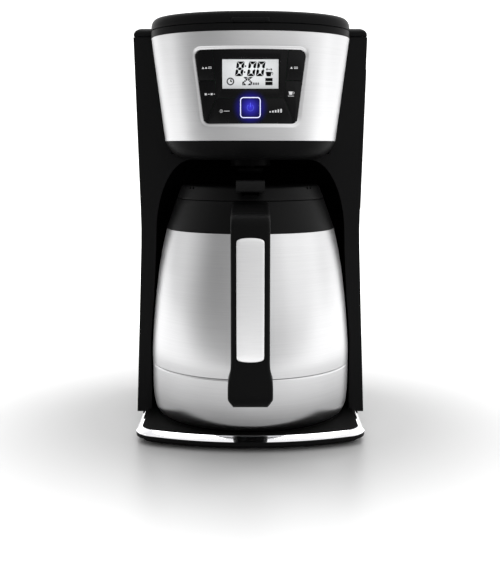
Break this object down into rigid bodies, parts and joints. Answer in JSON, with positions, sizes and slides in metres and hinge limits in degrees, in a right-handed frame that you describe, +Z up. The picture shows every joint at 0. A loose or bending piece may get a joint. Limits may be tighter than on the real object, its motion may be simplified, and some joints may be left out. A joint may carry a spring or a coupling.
{
  "type": "drip coffee maker",
  "caption": "Drip coffee maker with a tapered steel-faced head, hinged lid, arch-shaped bay and a steel thermal carafe with a loop handle and twist lid.",
  "frame": {"origin": "centre of the bounding box's footprint, on the surface the feet stand on", "axes": "+Z up, +X to the user's right when facing the control panel, -Y towards the user"},
  "size_m": [0.198, 0.28, 0.3415],
  "materials": {
    "black_plastic": "black moulded plastic, low gloss",
    "satin_plastic": "black moulded plastic, satin",
    "bay_plastic": "black moulded plastic, matt",
    "carafe_plastic": "black moulded plastic, satin gloss",
    "panel_gloss": "piano black",
    "power_blue": "lit deep blue",
    "light_ring": "lit white line",
    "lcd_glass": "clear window",
    "lcd_face": "grey liquid crystal face",
    "fascia_steel": "brushed across",
    "carafe_steel": "brushed round",
    "flask_steel": "plain drawn steel",
    "insert_steel": "fine brushed",
    "chrome_trim": "polished",
    "screw_steel": "zinc plated",
    "spring_steel": "stainless wire",
    "heater_aluminium": "cast",
    "rubber": "matt",
    "silicone_hose": "milky silicone",
    "tank_plastic": "smoked plastic",
    "gauge_smoke": "smoked window",
    "clear_tube": "clear tube",
    "white_plastic": "natural plastic",
    "circuit_board": "solder mask"
  },
  "bodies": {
    "machine": {"rubber_feet": "rubber", "base_pan": "black_plastic", "base_screws": "screw_steel", "carafe_platform": "satin_plastic", "tray_trim": "chrome_trim", "tower_shell": "black_plastic", "rear_cover": "black_plastic", "bay_liner": "bay_plastic", "head_shell": "black_plastic", "head_bowl": "black_plastic", "steel_fascia": "fascia_steel", "control_bezel": "panel_gloss", "lcd_window": "lcd_glass", "lcd_module": "lcd_face", "control_board": "circuit_board", "power_light_ring": "light_ring", "basket_well": "satin_plastic", "top_deck": "satin_plastic", "lid_hinge_pins": "screw_steel", "water_gauge_window": "gauge_smoke", "sight_tube": "clear_tube", "water_tank": "tank_plastic", "tank_valve": "white_plastic", "inlet_hose": "silicone_hose", "heater": "heater_aluminium", "heater_bracket": "screw_steel", "thermostat": "white_plastic", "thermal_fuse": "white_plastic", "riser_hose": "silicone_hose", "spray_nozzle": "satin_plastic", "power_board": "circuit_board", "cord_gland": "rubber"},
    "lid": {"lid_cover": "black_plastic", "lid_liner": "satin_plastic", "shower_head": "satin_plastic"},
    "basket": {"brew_basket": "satin_plastic"},
    "drip_stop": {"drip_stop": "satin_plastic", "drip_stop_spring": "spring_steel"},
    "hour_key": {"hour_button": "panel_gloss"},
    "minute_key": {"minute_button": "panel_gloss"},
    "program_key": {"program_button": "panel_gloss"},
    "cup_key": {"cup_button": "panel_gloss"},
    "auto_key": {"auto_button": "panel_gloss"},
    "strong_key": {"strong_button": "panel_gloss"},
    "power_key": {"power_button": "power_blue"},
    "carafe": {"carafe_body": "carafe_steel", "carafe_base_cup": "carafe_steel", "carafe_flask": "flask_steel", "carafe_collar": "carafe_plastic", "carafe_handle": "carafe_plastic", "handle_insert": "insert_steel", "handle_screws": "screw_steel"},
    "carafe_lid": {"carafe_lid": "carafe_plastic", "lid_stopper": "satin_plastic", "lid_gasket": "silicone_hose", "lever_pin": "screw_steel"},
    "lever": {"thumb_lever": "carafe_plastic"},
    "valve": {"pour_valve": "satin_plastic", "valve_spring": "spring_steel"}
  },
  "joints": [
    {"name": "lid_hinge", "type": "hinge", "parent": "machine", "child": "lid", "pos_m": [0, 0.127, 0.3335], "axis": [-1, 0, 0], "range_deg": [0, 100]},
    {"name": "basket_lift", "type": "slide", "parent": "machine", "child": "basket", "axis": [0, 0, 1], "range_m": [0, 0.11]},
    {"name": "drip_stop_lift", "type": "slide", "parent": "basket", "child": "drip_stop", "axis": [0, 0, 1], "range_m": [0, 0.004], "stiffness_N_per_m": 150, "springref_m": -0.004, "deforming": ["drip_stop_spring"]},
    {"name": "carafe_slide", "type": "slide", "parent": "machine", "child": "carafe", "axis": [0, -1, 0], "range_m": [0, 0.24]},
    {"name": "carafe_lid_twist", "type": "hinge", "parent": "carafe", "child": "carafe_lid", "pos_m": [0, -0.01, 0.2], "axis": [0, 0, 1], "range_deg": [0, 40]},
    {"name": "lever_press", "type": "hinge", "parent": "carafe_lid", "child": "lever", "pos_m": [0, -0.062, 0.2064], "axis": [1, 0, 0], "range_deg": [0, 12], "stiffness_Nm_per_rad": 0.3, "springref_deg": -8.59},
    {"name": "valve_lift", "type": "slide", "parent": "carafe_lid", "child": "valve", "axis": [0, 0, 1], "range_m": [0, 0.003], "deforming": ["valve_spring"]},
    {"name": "hour_press", "type": "slide", "parent": "machine", "child": "hour_key", "axis": [0, 1, 0], "range_m": [0, 0.0008], "stiffness_N_per_m": 400, "springref_m": -0.0008},
    {"name": "minute_press", "type": "slide", "parent": "machine", "child": "minute_key", "axis": [0, 1, 0], "range_m": [0, 0.0008], "stiffness_N_per_m": 400, "springref_m": -0.0008},
    {"name": "program_press", "type": "slide", "parent": "machine", "child": "program_key", "axis": [0, 1, 0], "range_m": [0, 0.0008], "stiffness_N_per_m": 400, "springref_m": -0.0008},
    {"name": "cup_press", "type": "slide", "parent": "machine", "child": "cup_key", "axis": [0, 1, 0], "range_m": [0, 0.0008], "stiffness_N_per_m": 400, "springref_m": -0.0008},
    {"name": "auto_press", "type": "slide", "parent": "machine", "child": "auto_key", "axis": [0, 1, 0], "range_m": [0, 0.0008], "stiffness_N_per_m": 400, "springref_m": -0.0008},
    {"name": "strong_press", "type": "slide", "parent": "machine", "child": "strong_key", "axis": [0, 1, 0], "range_m": [0, 0.0008], "stiffness_N_per_m": 400, "springref_m": -0.0008},
    {"name": "power_press", "type": "slide", "parent": "machine", "child": "power_key", "axis": [0, 1, 0], "range_m": [0, 0.0008], "stiffness_N_per_m": 400, "springref_m": -0.0008}
  ],
  "couplings": [
    {"joint": "basket_lift", "follows": "lid_hinge", "m_per_rad": 0.063},
    {"joint": "valve_lift", "follows": "lever_press", "m_per_rad": 0.0143}
  ]
}
